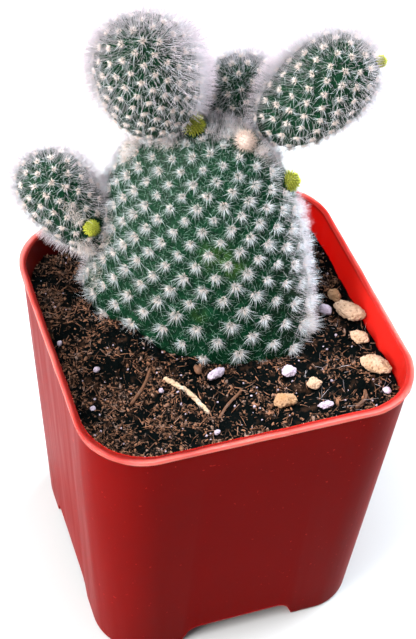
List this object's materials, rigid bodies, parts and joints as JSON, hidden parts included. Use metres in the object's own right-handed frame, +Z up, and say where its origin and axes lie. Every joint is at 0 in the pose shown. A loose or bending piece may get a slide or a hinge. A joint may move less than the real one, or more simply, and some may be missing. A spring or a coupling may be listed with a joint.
{
  "type": "potted bunny ear cactus",
  "caption": "Small prickly pear with flattened pads and white star tufts, standing in soil in a square tapered red plastic nursery pot with a thin rim.",
  "frame": {"origin": "middle of the pot's footprint, on the surface that the pot stands on", "axes": "+Z up; X and Y run along the pot's sides, and the plant's broad side looks towards -Y, turned a little towards -X"},
  "size_m": [0.071, 0.07, 0.1392],
  "materials": {
    "red_plastic": "glossy, lightly scuffed",
    "peat_soil": "rough, crumbly",
    "cactus_skin": "satin, with white spines",
    "young_bud": "matte, bristly",
    "white_wool": "woolly",
    "pumice": "rough, porous",
    "perlite": "rough, porous",
    "pale_root": "matte, fibrous",
    "brown_twig": "matte, fibrous"
  },
  "bodies": {
    "root": {"pot": "red_plastic", "soil": "peat_soil", "cactus_body": "cactus_skin", "pad_left": "cactus_skin", "pad_upper": "cactus_skin", "pad_back": "cactus_skin", "pad_right": "cactus_skin", "bud_upper": "young_bud", "bud_right": "young_bud", "bud_left": "young_bud", "bud_tip": "young_bud", "bud_woolly": "white_wool", "pumice_ridge": "pumice", "pumice_knob": "pumice", "pumice_middle": "pumice", "pumice_corner": "pumice", "pumice_round": "pumice", "pumice_ochre": "pumice", "pumice_ring": "pumice", "shell_bean": "perlite", "perlite_a": "perlite", "perlite_b": "perlite", "perlite_c": "perlite", "perlite_d": "perlite", "perlite_e": "perlite", "perlite_f": "perlite", "perlite_g": "perlite", "perlite_h": "perlite", "bark_chip": "brown_twig", "root_twig": "pale_root", "twig_front": "brown_twig", "twig_curl": "brown_twig", "twig_dark": "brown_twig"}
  },
  "joints": []
}
